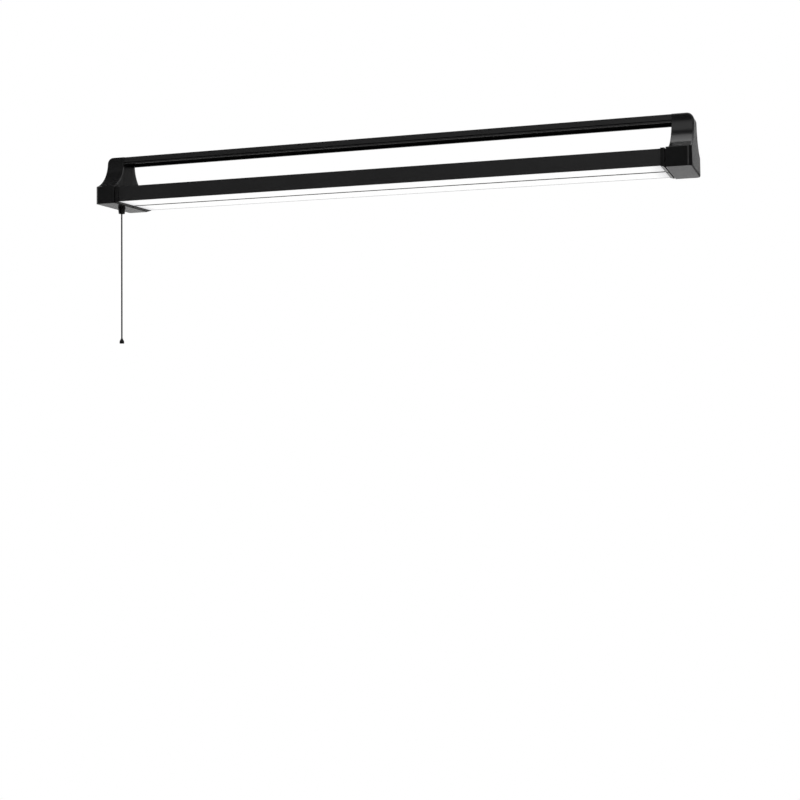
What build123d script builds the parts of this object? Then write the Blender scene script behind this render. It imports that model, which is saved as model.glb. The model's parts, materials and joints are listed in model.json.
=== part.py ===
from build123d import *
from math import atan2, cos, degrees, pi, sin, sqrt
import os

# Linear ceiling light with a pull switch.
# Millimetres, +Z up, +X along the light, -Y towards the front.
# The origin is midway between the two hanger inserts, on the plane of their flanges.

# Outline of the light
LIGHT_LENGTH = 1200.0
LIGHT_HEIGHT = 102.0

# End caps: a block below, a pillar with inward curving sides above
CAP_WIDTH = 130.0
CAP_LENGTH = 45.5
CAP_WALL = 2.5
CAP_LEAN = 2.6
CAP_EDGE_RADIUS = 3.0
CAP_CORNER_RADIUS = 10.0
CAP_CORNER_EASE = 0.3
BLOCK_HEIGHT = 35.0
PILLAR_LENGTH = 41.0
PILLAR_WIDTH = 44.0
PILLAR_STRAIGHT = 10.0
PILLAR_END_RADIUS = 13.0

# Pillar covers with the tongue that carries the rail
COVER_THICKNESS = 2.5
TONGUE_LENGTH = 30.0
TONGUE_HEIGHT = 5.5
COVER_BOSS_LENGTH = 8.0
COVER_BOSS_HEIGHT = 10.0
COVER_SCREW_SPACING = 18.0

# Rail
RAIL_WIDTH = 42.0
RAIL_HEIGHT = 14.0
RAIL_WALL = 1.6
RAIL_GROOVE_HEIGHT = 1.2
RAIL_GROOVE_DEPTH = 0.8
RAIL_LIP_HEIGHT = 2.5
RAIL_FLANGE_REACH = 3.0
RAIL_SCREW_SPACING = 20.0

# Hanger inserts in the top of the rail
HANGER_SPACING = 800.0
HANGER_BORE_RADIUS = 2.5
HANGER_BODY_RADIUS = 4.4
HANGER_BODY_LENGTH = 8.0
HANGER_FLANGE_RADIUS = 7.0
HANGER_FLANGE_THICKNESS = 1.0

# Lower housing, an extruded profile
HOUSING_SETBACK = 3.0
HOUSING_LIFT = 3.0
HOUSING_DROP = 2.0
HOUSING_WALL = 1.8
CHANNEL_DEPTH = 15.0
RIB_WIDTH = 8.0
LEDGE_REACH = 1.2
LEDGE_THICKNESS = 1.2
LEDGE_LIFT = 4.5
PORT_RADIUS = 3.1
OUTER_PORT_INSET = 3.7
OUTER_PORT_DROP = 4.2
INNER_PORT_Y = 34.0
INNER_PORT_LIFT = 3.0

# End frames between the caps and the housing
FRAME_LENGTH = 9.5
FRAME_PLATE = 3.0
FRAME_SETBACK = 0.8
FRAME_LIP = 0.6
SEAM_GROOVE_WIDTH = 2.2
SEAM_GROOVE_DEPTH = 1.7
SPIGOT_LENGTH = 8.0
SPIGOT_WALL = 2.0
WIRE_WINDOW_WIDTH = 58.0
WIRE_WINDOW_HEIGHT = 9.0
CAP_SCREW_BOSS = 7.0
CAP_SCREW_SPACING = 14.0

# Light strips
DIFFUSER_THICKNESS = 1.8
DIFFUSER_EDGE_RADIUS = 0.8
DIFFUSER_LEG = 1.4
DIFFUSER_BEAD = 0.9
DIFFUSER_BEAD_HEIGHT = 1.2
BOARD_END_MARGIN = 14.0
BOARD_WIDTH = 24.0
BOARD_THICKNESS = 1.6
CHIP_PITCH = 14.0
CHIP_SIZE = 3.0
CHIP_HEIGHT = 0.8
BOARD_SCREW_COUNT = 5
BOARD_SCREW_OFFSET = 8.0
BOARD_SCREW_MARGIN = 25.0
LED_LEAD_HOLE_RADIUS = 3.0
LED_LEAD_HOLE_Y = 25.0

# Driver in the upper chamber
DRIVER_LENGTH = 260.0
DRIVER_WIDTH = 38.0
DRIVER_HEIGHT = 10.2
DRIVER_SHEET = 0.8
DRIVER_END_GAP = 21.0
DRIVER_TAB = 10.0
DRIVER_BOARD_LIFT = 1.0
DRIVER_STUD_RADIUS = 2.0
DRIVER_STUD_INSET = 6.0
COIL_LENGTH = 22.0
COIL_WIDTH = 18.0
COIL_HEIGHT = 5.0
CAPACITOR_RADIUS = 2.5
CAPACITOR_LENGTH = 16.0
CAPACITOR_COUNT = 3
CAPACITOR_PITCH = 7.0
CONNECTOR_LENGTH = 8.0
CONNECTOR_WIDTH = 18.0
CONNECTOR_HEIGHT = 4.5

# Cable grommet in the top of the left pillar
GROMMET_END_GAP = 0.8
GROMMET_NECK_RADIUS = 4.8
GROMMET_FLANGE_RADIUS = 7.0
GROMMET_FLANGE_THICKNESS = 1.2
GROMMET_COLLAR_RADIUS = 6.2
GROMMET_COLLAR_THICKNESS = 1.5
GROMMET_BORE_RADIUS = 3.2
GROMMET_MEMBRANE = 0.6

# Terminal block in the left end cap
TERMINAL_GAP = 1.3
TERMINAL_WIDTH = 8.0
TERMINAL_HEIGHT = 14.0
TERMINAL_LENGTH = 21.0
TERMINAL_POLE_PITCH = 7.5
TERMINAL_WIRE_DEPTH = 6.0
TERMINAL_SCREW_RADIUS = 1.9
TERMINAL_SCREW_DEPTH = 5.0
TERMINAL_SCREW_INSET = 4.0
TERMINAL_SLOT_WIDTH = 0.6

# Pull switch
SWITCH_INSET = 23.0
SWITCH_BACK = 11.0
SWITCH_FRONT = 14.0
SWITCH_WIDTH = 24.0
SWITCH_HEIGHT = 24.0
SWITCH_WALL = 2.0
LID_LIP = 1.5
NECK_RADIUS = 5.0
NECK_BORE_RADIUS = 3.0
NECK_LENGTH = 7.5
BUSH_LENGTH = 12.0
BUSH_TOP_RADIUS = 7.7
BUSH_MOUTH_RADIUS = 6.3
BUSH_EDGE_RADIUS = 1.0
SLIDER_ROD_RADIUS = 2.6
SLIDER_ROD_LENGTH = 16.5
SLIDER_HEAD_BACK = 6.0
SLIDER_HEAD_FRONT = 2.4
SLIDER_HEAD_WIDTH = 12.0
SLIDER_HEAD_HEIGHT = 3.0
SPRING_LENGTH = 13.0
SPRING_RADIUS = 4.4
SPRING_WIRE = 1.0
WHEEL_RADIUS = 3.2
WHEEL_ROOT_RADIUS = 2.4
WHEEL_THICKNESS = 4.0
WHEEL_TEETH = 8
WHEEL_X = 8.0
WHEEL_DROP = 8.0
WHEEL_PIN_RADIUS = 1.0
CONTACT_WIDTH = 4.0
CONTACT_THICKNESS = 0.6
CONTACT_GAP = 0.6
CONTACT_REACH = 5.0
CONTACT_RISE = 5.0

# Pull cord, straight under the weight of its knob
CORD_RADIUS = 1.5
CORD_PIVOT_LIFT = 2.0
CORD_DROP = 260.0
KNOB_HEIGHT = 10.5
KNOB_TOP_RADIUS = 2.2
KNOB_SHOULDER_RADIUS = 3.9
KNOB_SHOULDER_DROP = 3.8
KNOB_BASE_RADIUS = 4.8
KNOB_RIM = 1.6
KNOB_EDGE_RADIUS = 0.6
KNOB_POCKET_RADIUS = 2.8
KNOB_POCKET_DEPTH = 4.5
KNOT_RADIUS = 2.2

# Leads
LEAD_RADIUS = 1.1
LEAD_BEND_RADIUS = 3.5
LEAD_RUN_Y = 26.0
DRIVER_LEAD_Y = 10.0
LEAD_STRAIGHT = 9.0
LED_LEAD_RADIUS = 0.9
LED_LEAD_BEND_RADIUS = 2.4
LED_LEAD_Y = 6.0
LED_LEAD_REACH = 40.0

# Screws
SCREW_RADIUS = 1.45
SCREW_HEAD_RADIUS = 2.7
SCREW_HEAD_HEIGHT = 1.8
SCREW_KEY_RADIUS = 1.2
SCREW_KEY_DEPTH = 0.9
SHORT_SCREW = 4.0
LONG_SCREW = 12.0

# Clearances
SLIP_GAP = 0.2
CORD_GAP = 0.3
PIN_GAP = 0.05
SCREW_GAP = 0.05

# Planes and stations that follow from the sizes above
END_X = LIGHT_LENGTH / 2
SEAM_X = END_X - CAP_LENGTH
PILLAR_X = END_X - PILLAR_LENGTH
FRAME_X = SEAM_X - FRAME_LENGTH
PLATE_X = SEAM_X - FRAME_PLATE
BOTTOM_Z = -LIGHT_HEIGHT
BLOCK_TOP_Z = BOTTOM_Z + BLOCK_HEIGHT
FLARE_TOP_Z = -PILLAR_STRAIGHT
CAP_FLOOR_Z = BOTTOM_Z + CAP_WALL
CAP_CEILING_Z = BLOCK_TOP_Z - CAP_WALL
CAP_STOCK_X = END_X + CAP_WALL

RAIL_TOP_Z = -HANGER_FLANGE_THICKNESS
RAIL_BOTTOM_Z = RAIL_TOP_Z - RAIL_HEIGHT
RAIL_ROOM_FLOOR_Z = RAIL_BOTTOM_Z + RAIL_WALL
RAIL_ROOM_CEILING_Z = RAIL_TOP_Z - RAIL_WALL
RAIL_ROOM_Y = RAIL_WIDTH / 2 - RAIL_WALL

HOUSING_Y = CAP_WIDTH / 2 - HOUSING_SETBACK
HOUSING_BOTTOM_Z = BOTTOM_Z + HOUSING_LIFT
HOUSING_TOP_Z = BLOCK_TOP_Z - HOUSING_DROP
WEB_BOTTOM_Z = HOUSING_BOTTOM_Z + CHANNEL_DEPTH
CHAMBER_FLOOR_Z = WEB_BOTTOM_Z + HOUSING_WALL
CHAMBER_CEILING_Z = HOUSING_TOP_Z - HOUSING_WALL
CHAMBER_Y = HOUSING_Y - HOUSING_WALL
CHANNEL_Y = (RIB_WIDTH / 2 + CHAMBER_Y) / 2
OUTER_PORT = (CHAMBER_Y - OUTER_PORT_INSET, CHAMBER_CEILING_Z - OUTER_PORT_DROP)
INNER_PORT = (INNER_PORT_Y, CHAMBER_FLOOR_Z + INNER_PORT_LIFT)
PORTS = [(side * y, z) for y, z in (OUTER_PORT, INNER_PORT) for side in (-1, 1)]

BOARD_END_X = FRAME_X - BOARD_END_MARGIN
BOARD_BOTTOM_Z = WEB_BOTTOM_Z - BOARD_THICKNESS
BOARD_SCREW_SPAN = 2 * (BOARD_END_X - BOARD_SCREW_MARGIN)
BOARD_SCREW_X = [
    BOARD_SCREW_SPAN * (i / (BOARD_SCREW_COUNT - 1) - 0.5) for i in range(BOARD_SCREW_COUNT)
]

DRIVER_X0 = -PLATE_X + DRIVER_END_GAP
DRIVER_X1 = DRIVER_X0 + DRIVER_LENGTH
DRIVER_TOP_Z = CHAMBER_FLOOR_Z + DRIVER_HEIGHT
DRIVER_BOARD_Z = CHAMBER_FLOOR_Z + DRIVER_SHEET + DRIVER_BOARD_LIFT
DRIVER_PARTS_Z = DRIVER_BOARD_Z + BOARD_THICKNESS
LED_LEAD_X = DRIVER_X1 + LED_LEAD_REACH

TERMINAL_Y = INNER_PORT_Y + SCREW_HEAD_RADIUS + TERMINAL_GAP

GROMMET_X = -END_X + CAP_LEAN + PILLAR_END_RADIUS + GROMMET_FLANGE_RADIUS + GROMMET_END_GAP
COVER_BACK_X = PILLAR_X + COVER_THICKNESS
COVER_BOSS_TOP_Z = -CAP_WALL
COVER_BOSS_Y = PILLAR_WIDTH / 2 - 2 * CAP_WALL
COVER_SCREW_X = COVER_BACK_X + COVER_BOSS_LENGTH / 2
RAIL_SCREW_X = PILLAR_X - TONGUE_LENGTH / 2

SWITCH_X = -END_X + SWITCH_INSET
SWITCH_FLOOR_Z = CAP_FLOOR_Z + SWITCH_WALL
SWITCH_RIM_Z = CAP_FLOOR_Z + SWITCH_HEIGHT - SWITCH_WALL
SLIDER_HEAD_Z = SWITCH_FLOOR_Z + SPRING_LENGTH
SLIDER_END_Z = SLIDER_HEAD_Z - SLIDER_ROD_LENGTH
WHEEL_Z = SWITCH_RIM_Z - WHEEL_DROP
CONTACT_Z = WHEEL_Z + CONTACT_RISE
CONTACT_END_Y = SWITCH_WIDTH / 2 + CONTACT_REACH
POLE_X = [SWITCH_X + WHEEL_X, SWITCH_X + WHEEL_X + TERMINAL_POLE_PITCH]
BUSH_MOUTH_Z = BOTTOM_Z - BUSH_LENGTH
CORD_PIVOT_Z = BUSH_MOUTH_Z + CORD_PIVOT_LIFT
KNOB_TOP_Z = BUSH_MOUTH_Z - CORD_DROP
KNOB_BOTTOM_Z = KNOB_TOP_Z - KNOB_HEIGHT
KNOB_POCKET_Z = KNOB_BOTTOM_Z + KNOB_POCKET_DEPTH


def block(x0, x1, y0, y1, z0, z1):
    return Pos((x0 + x1) / 2, (y0 + y1) / 2, (z0 + z1) / 2) * Box(x1 - x0, y1 - y0, z1 - z0)


def post(x, y, z0, z1, radius):
    return Pos(x, y, (z0 + z1) / 2) * Cylinder(radius, z1 - z0)


def bar_x(x0, x1, y, z, radius):
    return Pos((x0 + x1) / 2, y, z) * Rot(0, 90, 0) * Cylinder(radius, x1 - x0)


def bar_y(x, y0, y1, z, radius):
    return Pos(x, (y0 + y1) / 2, z) * Rot(90, 0, 0) * Cylinder(radius, y1 - y0)


def rect(y0, y1, z0, z1):
    return Pos((y0 + y1) / 2, (z0 + z1) / 2) * Rectangle(y1 - y0, z1 - z0)


def prism(face, x0, x1):
    return extrude(Plane.YZ.offset(x0) * face, amount=x1 - x0)


def to_left(part):
    return mirror(part, about=Plane.YZ)


def screw(length):
    # head underside at Z = 0, shank down
    head = post(0, 0, 0, SCREW_HEAD_HEIGHT, SCREW_HEAD_RADIUS)
    shank = post(0, 0, -length, 0, SCREW_RADIUS)
    key = Pos(0, 0, SCREW_HEAD_HEIGHT - SCREW_KEY_DEPTH) * extrude(
        RegularPolygon(SCREW_KEY_RADIUS, 6), amount=SCREW_KEY_DEPTH
    )
    return head + shank - key


def flat_screw(length):
    # head top at Z = 0, shank down
    head = Pos(0, 0, -SCREW_HEAD_HEIGHT / 2) * Cone(SCREW_RADIUS, SCREW_HEAD_RADIUS, SCREW_HEAD_HEIGHT)
    shank = post(0, 0, -length, -SCREW_HEAD_HEIGHT, SCREW_RADIUS)
    key = Pos(0, 0, -SCREW_KEY_DEPTH) * extrude(RegularPolygon(SCREW_KEY_RADIUS, 6), amount=SCREW_KEY_DEPTH)
    return head + shank - key


def flat_screw_hole(length):
    # room for a flat screw with its clearance, head top at Z = 0
    sink = Pos(0, 0, -SCREW_HEAD_HEIGHT / 2) * Cone(
        SCREW_RADIUS + SCREW_GAP, SCREW_HEAD_RADIUS + SCREW_GAP, SCREW_HEAD_HEIGHT
    )
    return sink + post(0, 0, -length, -SCREW_HEAD_HEIGHT, SCREW_RADIUS + SCREW_GAP)


def pillar_face(inset, top_z):
    # pillar seen along X: vertical at the top, curving out to the cap's width at the block
    setback = (CAP_WIDTH - PILLAR_WIDTH) / 2
    rise = FLARE_TOP_Z - BLOCK_TOP_Z
    flare = (setback**2 + rise**2) / (2 * setback)
    centre_y = PILLAR_WIDTH / 2 + flare
    radius = flare + inset
    drop = rise + inset
    sweep_angle = degrees(atan2(drop, sqrt(radius**2 - drop**2)))
    half = PILLAR_WIDTH / 2 - inset
    rear = CenterArc((centre_y, FLARE_TOP_Z), radius, 180 + sweep_angle, -sweep_angle)
    front = CenterArc((-centre_y, FLARE_TOP_Z), radius, 0, -sweep_angle)
    top = Polyline(rear @ 1, (half, top_z), (-half, top_z), front @ 0)
    base = Line(front @ 1, rear @ 0)
    return make_face([rear, top, front, base])


def pillar_room_face(inset, top_z):
    # inside of the pillar, no wider than the inside of the block
    half = CAP_WIDTH / 2 - inset
    return pillar_face(inset, top_z) & rect(-half, half, BLOCK_TOP_Z - inset, CAP_WALL)


def side_form(inset):
    # everything inside the leaning end and its rounded top, moved in by the inset
    foot = END_X - inset
    low_z = 2 * BOTTOM_Z
    low = (foot + CAP_LEAN, low_z)
    high = (foot - CAP_LEAN, -inset)
    side = make_face(Polyline((PLATE_X, low_z), low, high, (PLATE_X, -inset), close=True))
    corner = side.vertices().group_by(Axis.Y)[-1].sort_by(Axis.X)[-1]
    return extrude(Plane.XZ * fillet(corner, PILLAR_END_RADIUS - inset), amount=CAP_WIDTH, both=True)


def plan_form(inset):
    # everything inside the rounded upright corners, which cross the faces at a small angle
    reach = CAP_CORNER_EASE - inset
    half = CAP_WIDTH / 2 + reach
    foot = END_X + reach
    plan = make_face(Polyline((PLATE_X, -half), (foot, -half), (foot, half), (PLATE_X, half), close=True))
    plan = fillet(plan.vertices().group_by(Axis.X)[-1], CAP_CORNER_RADIUS + reach)
    return extrude(plan, amount=2 * BOTTOM_Z, both=True)


def cap_outside():
    half = CAP_WIDTH / 2
    shape = prism(rect(-half, half, BOTTOM_Z, BLOCK_TOP_Z), SEAM_X, CAP_STOCK_X)
    shape += prism(pillar_face(0, CAP_WALL), PILLAR_X, CAP_STOCK_X)
    shape &= side_form(0)
    end_face = shape.faces().filter_by(GeomType.PLANE).sort_by(Axis.X)[-1]
    round_face = shape.faces().filter_by(GeomType.CYLINDER).sort_by(Axis.X)[-1]
    top_face = shape.faces().sort_by(Axis.Z)[-1]
    rim = (end_face.edges() + round_face.edges() + top_face.edges()).filter_by(Axis.Y, reverse=True)
    rim.append(end_face.edges().sort_by(Axis.Z)[0])
    return fillet(rim, CAP_EDGE_RADIUS) & plan_form(0)


def cap_shell():
    half = CAP_WIDTH / 2 - CAP_WALL
    end = side_form(CAP_WALL) & plan_form(CAP_WALL)
    shell = cap_outside()
    shell -= prism(rect(-half, half, CAP_FLOOR_Z, CAP_CEILING_Z), SEAM_X, CAP_STOCK_X) & end
    shell -= prism(pillar_room_face(CAP_WALL, 0), PILLAR_X, CAP_STOCK_X) & end
    for y in (-COVER_SCREW_SPACING / 2, COVER_SCREW_SPACING / 2):
        shell -= Pos(COVER_SCREW_X, y, 0) * flat_screw_hole(LONG_SCREW)
    for place in cap_screw_places():
        shell -= place * flat_screw_hole(LONG_SCREW)
    return shell


def cap_screw_places():
    middle = (CAP_FLOOR_Z + CAP_CEILING_Z) / 2
    x = SEAM_X + SPIGOT_LENGTH / 2
    return [
        Pos(x, CAP_WIDTH / 2, middle + side * CAP_SCREW_SPACING / 2) * Rot(-90, 0, 0) for side in (-1, 1)
    ]


def cap_screws():
    right = [place * flat_screw(LONG_SCREW) for place in cap_screw_places()]
    return right + [to_left(part) for part in right]


def end_cap_left():
    shell = to_left(cap_shell())
    shell -= post(SWITCH_X, 0, BOTTOM_Z, CAP_FLOOR_Z, NECK_RADIUS + SLIP_GAP)
    shell -= post(GROMMET_X, 0, -CAP_WALL, 0, GROMMET_NECK_RADIUS + SLIP_GAP)
    shell -= post(GROMMET_X, 0, -GROMMET_FLANGE_THICKNESS, 0, GROMMET_FLANGE_RADIUS + SLIP_GAP)
    return shell


def pillar_cover():
    inset = CAP_WALL + SLIP_GAP
    cover = prism(pillar_room_face(inset, -inset), PILLAR_X, COVER_BACK_X)
    room = RAIL_ROOM_Y - SLIP_GAP
    tongue_top = RAIL_ROOM_CEILING_Z - SLIP_GAP
    cover += block(PILLAR_X - TONGUE_LENGTH, PILLAR_X, -room, room, tongue_top - TONGUE_HEIGHT, tongue_top)
    cover += block(
        COVER_BACK_X, COVER_BACK_X + COVER_BOSS_LENGTH, -COVER_BOSS_Y, COVER_BOSS_Y,
        COVER_BOSS_TOP_Z - COVER_BOSS_HEIGHT, COVER_BOSS_TOP_Z,
    )
    for y in (-COVER_SCREW_SPACING / 2, COVER_SCREW_SPACING / 2):
        cover -= Pos(COVER_SCREW_X, y, 0) * flat_screw_hole(LONG_SCREW)
    for y in (-RAIL_SCREW_SPACING / 2, RAIL_SCREW_SPACING / 2):
        cover -= Pos(RAIL_SCREW_X, y, RAIL_TOP_Z) * flat_screw_hole(RAIL_HEIGHT)
    return cover


def cover_screws():
    screws = []
    for y in (-COVER_SCREW_SPACING / 2, COVER_SCREW_SPACING / 2):
        part = Pos(COVER_SCREW_X, y, 0) * flat_screw(LONG_SCREW - CAP_WALL)
        screws += [part, to_left(part)]
    return screws


def rail():
    half = RAIL_WIDTH / 2
    groove_z = RAIL_BOTTOM_Z + RAIL_LIP_HEIGHT
    face = rect(-half, half, RAIL_BOTTOM_Z, RAIL_TOP_Z)
    face -= rect(-RAIL_ROOM_Y, RAIL_ROOM_Y, RAIL_ROOM_FLOOR_Z, RAIL_ROOM_CEILING_Z)
    slot = RAIL_ROOM_Y - RAIL_FLANGE_REACH
    face -= rect(-slot, slot, RAIL_BOTTOM_Z, RAIL_ROOM_FLOOR_Z)
    for inner, outer in ((-half, -half + RAIL_GROOVE_DEPTH), (half - RAIL_GROOVE_DEPTH, half)):
        face -= rect(inner, outer, groove_z, groove_z + RAIL_GROOVE_HEIGHT)
    body = prism(face, -PILLAR_X, PILLAR_X)
    for side in (-1, 1):
        body -= post(
            side * HANGER_SPACING / 2, 0, RAIL_ROOM_CEILING_Z, RAIL_TOP_Z, HANGER_BODY_RADIUS + SLIP_GAP
        )
        for y in (-RAIL_SCREW_SPACING / 2, RAIL_SCREW_SPACING / 2):
            body -= Pos(side * RAIL_SCREW_X, y, RAIL_TOP_Z) * flat_screw_hole(RAIL_HEIGHT / 2)
    return body


def rail_screws():
    screws = []
    for y in (-RAIL_SCREW_SPACING / 2, RAIL_SCREW_SPACING / 2):
        part = Pos(RAIL_SCREW_X, y, RAIL_TOP_Z) * flat_screw(RAIL_WALL + TONGUE_HEIGHT)
        screws += [part, to_left(part)]
    return screws


def hanger_inserts():
    inserts = []
    for side in (-1, 1):
        x = side * HANGER_SPACING / 2
        insert = post(x, 0, RAIL_TOP_Z, 0, HANGER_FLANGE_RADIUS)
        insert += post(x, 0, RAIL_TOP_Z - HANGER_BODY_LENGTH, RAIL_TOP_Z, HANGER_BODY_RADIUS)
        inserts.append(insert - post(x, 0, RAIL_TOP_Z - HANGER_BODY_LENGTH, 0, HANGER_BORE_RADIUS))
    return inserts


def housing_face():
    face = rect(-HOUSING_Y, HOUSING_Y, HOUSING_BOTTOM_Z, HOUSING_TOP_Z)
    face -= rect(-CHAMBER_Y, CHAMBER_Y, CHAMBER_FLOOR_Z, CHAMBER_CEILING_Z)
    rib = RIB_WIDTH / 2
    core = rib - HOUSING_WALL
    face -= rect(-core, core, HOUSING_BOTTOM_Z + HOUSING_WALL, WEB_BOTTOM_Z)
    ledge_z = HOUSING_BOTTOM_Z + LEDGE_LIFT
    for side in (-1, 1):
        inner, outer = sorted((side * rib, side * CHAMBER_Y))
        face -= rect(inner, outer, HOUSING_BOTTOM_Z, WEB_BOTTOM_Z)
        face += rect(inner, inner + LEDGE_REACH, ledge_z, ledge_z + LEDGE_THICKNESS)
        face += rect(outer - LEDGE_REACH, outer, ledge_z, ledge_z + LEDGE_THICKNESS)
    for y, z in PORTS:
        face += Pos(y, z) * Circle(PORT_RADIUS)
        web_end = CHAMBER_CEILING_Z if abs(y) > INNER_PORT_Y else CHAMBER_FLOOR_Z
        face += rect(y - PORT_RADIUS, y + PORT_RADIUS, *sorted((z, web_end)))
    for y, z in PORTS:
        face -= Pos(y, z) * Circle(SCREW_RADIUS + SCREW_GAP)
    return face


def housing_profile():
    body = prism(housing_face(), -PLATE_X, PLATE_X)
    for side in (-1, 1):
        for x in BOARD_SCREW_X:
            y = side * (CHANNEL_Y - BOARD_SCREW_OFFSET)
            body -= post(x, y, WEB_BOTTOM_Z, CHAMBER_FLOOR_Z, SCREW_RADIUS + SCREW_GAP)
        body -= post(LED_LEAD_X, side * LED_LEAD_HOLE_Y, WEB_BOTTOM_Z, CHAMBER_FLOOR_Z, LED_LEAD_HOLE_RADIUS)
    for x in driver_screw_x():
        body -= post(x, 0, WEB_BOTTOM_Z, CHAMBER_FLOOR_Z, SCREW_RADIUS + SCREW_GAP)
    return body


def end_frame():
    half = CAP_WIDTH / 2 - FRAME_SETBACK
    body = prism(rect(-half, half, BOTTOM_Z, BLOCK_TOP_Z - FRAME_SETBACK), FRAME_X, SEAM_X)
    pocket_y = HOUSING_Y + SLIP_GAP
    body -= prism(
        rect(-pocket_y, pocket_y, HOUSING_BOTTOM_Z - SLIP_GAP, HOUSING_TOP_Z + SLIP_GAP), FRAME_X, PLATE_X
    )
    bevel = make_face(
        Polyline(
            (FRAME_X, BOTTOM_Z), (SEAM_X, BOTTOM_Z), (FRAME_X, HOUSING_BOTTOM_Z - FRAME_LIP), close=True
        )
    )
    body -= extrude(Plane.XZ * bevel, amount=CAP_WIDTH, both=True)
    notch = RIB_WIDTH / 2
    body -= block(FRAME_X, PLATE_X, -notch, notch, BOTTOM_Z, HOUSING_BOTTOM_Z)
    ring = rect(-half, half, BOTTOM_Z, BLOCK_TOP_Z)
    inner = half - SEAM_GROOVE_DEPTH
    inner_top = BLOCK_TOP_Z - FRAME_SETBACK - SEAM_GROOVE_DEPTH
    ring -= rect(-inner, inner, BOTTOM_Z + SEAM_GROOVE_DEPTH, inner_top)
    body -= prism(ring, SEAM_X - SEAM_GROOVE_WIDTH, SEAM_X)
    spigot_y = CAP_WIDTH / 2 - CAP_WALL - SLIP_GAP
    spigot_z = (CAP_FLOOR_Z + SLIP_GAP, CAP_CEILING_Z - SLIP_GAP)
    spigot = rect(-spigot_y, spigot_y, *spigot_z)
    spigot -= rect(
        SPIGOT_WALL - spigot_y, spigot_y - SPIGOT_WALL, spigot_z[0] + SPIGOT_WALL, spigot_z[1] - SPIGOT_WALL
    )
    body += prism(spigot, SEAM_X, SEAM_X + SPIGOT_LENGTH)
    middle = (CAP_FLOOR_Z + CAP_CEILING_Z) / 2
    reach = CAP_SCREW_SPACING / 2 + CAP_SCREW_BOSS / 2
    body += block(
        SEAM_X, SEAM_X + SPIGOT_LENGTH, spigot_y - SPIGOT_WALL - CAP_SCREW_BOSS, spigot_y,
        middle - reach, middle + reach,
    )
    for place in cap_screw_places():
        body -= place * flat_screw_hole(LONG_SCREW)
    window = WIRE_WINDOW_WIDTH / 2
    body -= block(PLATE_X, SEAM_X, -window, window, CHAMBER_FLOOR_Z, CHAMBER_FLOOR_Z + WIRE_WINDOW_HEIGHT)
    for y, z in PORTS:
        body -= bar_x(PLATE_X, SEAM_X, y, z, SCREW_RADIUS + SCREW_GAP)
        body -= bar_x(SEAM_X, SEAM_X + SPIGOT_LENGTH, y, z, SCREW_HEAD_RADIUS + SLIP_GAP)
    return body


def frame_screws():
    right = [Pos(SEAM_X, y, z) * Rot(0, 90, 0) * screw(LONG_SCREW) for y, z in PORTS]
    return right + [to_left(part) for part in right]


def diffuser(side):
    inner, outer = sorted((side * RIB_WIDTH / 2, side * CHAMBER_Y))
    y0 = inner + SLIP_GAP
    y1 = outer - SLIP_GAP
    plate = rect(y0, y1, HOUSING_BOTTOM_Z, HOUSING_BOTTOM_Z + DIFFUSER_THICKNESS)
    plate = fillet(plate.vertices().group_by(Axis.Y)[0], DIFFUSER_EDGE_RADIUS)
    bead_z = HOUSING_BOTTOM_Z + LEDGE_LIFT + LEDGE_THICKNESS + SLIP_GAP
    leg_top = bead_z + DIFFUSER_BEAD_HEIGHT
    leg0 = inner + LEDGE_REACH + SLIP_GAP
    leg1 = outer - LEDGE_REACH - SLIP_GAP
    plate += rect(leg0, leg0 + DIFFUSER_LEG, HOUSING_BOTTOM_Z + DIFFUSER_THICKNESS, leg_top)
    plate += rect(leg1 - DIFFUSER_LEG, leg1, HOUSING_BOTTOM_Z + DIFFUSER_THICKNESS, leg_top)
    plate += rect(leg0 - DIFFUSER_BEAD, leg0, bead_z, leg_top)
    plate += rect(leg1, leg1 + DIFFUSER_BEAD, bead_z, leg_top)
    return prism(plate, SLIP_GAP - PLATE_X, PLATE_X - SLIP_GAP)


def led_board(side):
    y = side * CHANNEL_Y
    half = BOARD_WIDTH / 2
    board = block(-BOARD_END_X, BOARD_END_X, y - half, y + half, BOARD_BOTTOM_Z, WEB_BOTTOM_Z)
    for x in BOARD_SCREW_X:
        screw_y = y - side * BOARD_SCREW_OFFSET
        board -= post(x, screw_y, BOARD_BOTTOM_Z, WEB_BOTTOM_Z, SCREW_RADIUS + SCREW_GAP)
    return board


def led_chips(side):
    count = int((2 * BOARD_END_X - CHIP_SIZE) / CHIP_PITCH)
    half = CHIP_SIZE / 2
    y = side * CHANNEL_Y
    bottom = BOARD_BOTTOM_Z - CHIP_HEIGHT
    chips = []
    for i in range(count):
        x = CHIP_PITCH * (i - (count - 1) / 2)
        chips.append(block(x - half, x + half, y - half, y + half, bottom, BOARD_BOTTOM_Z))
    return chips


def board_screws():
    screws = []
    for side in (-1, 1):
        for x in BOARD_SCREW_X:
            y = side * (CHANNEL_Y - BOARD_SCREW_OFFSET)
            screws.append(Pos(x, y, BOARD_BOTTOM_Z) * Rot(180, 0, 0) * screw(SHORT_SCREW))
    return screws


def driver_screw_x():
    return [DRIVER_X0 - DRIVER_TAB / 2, DRIVER_X1 + DRIVER_TAB / 2]


def driver_studs():
    x0 = DRIVER_X0 + DRIVER_STUD_INSET
    x1 = DRIVER_X1 - DRIVER_STUD_INSET
    y = DRIVER_WIDTH / 2 - DRIVER_STUD_INSET
    return [(x, side * y) for x in (x0, x1) for side in (-1, 1)]


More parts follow.
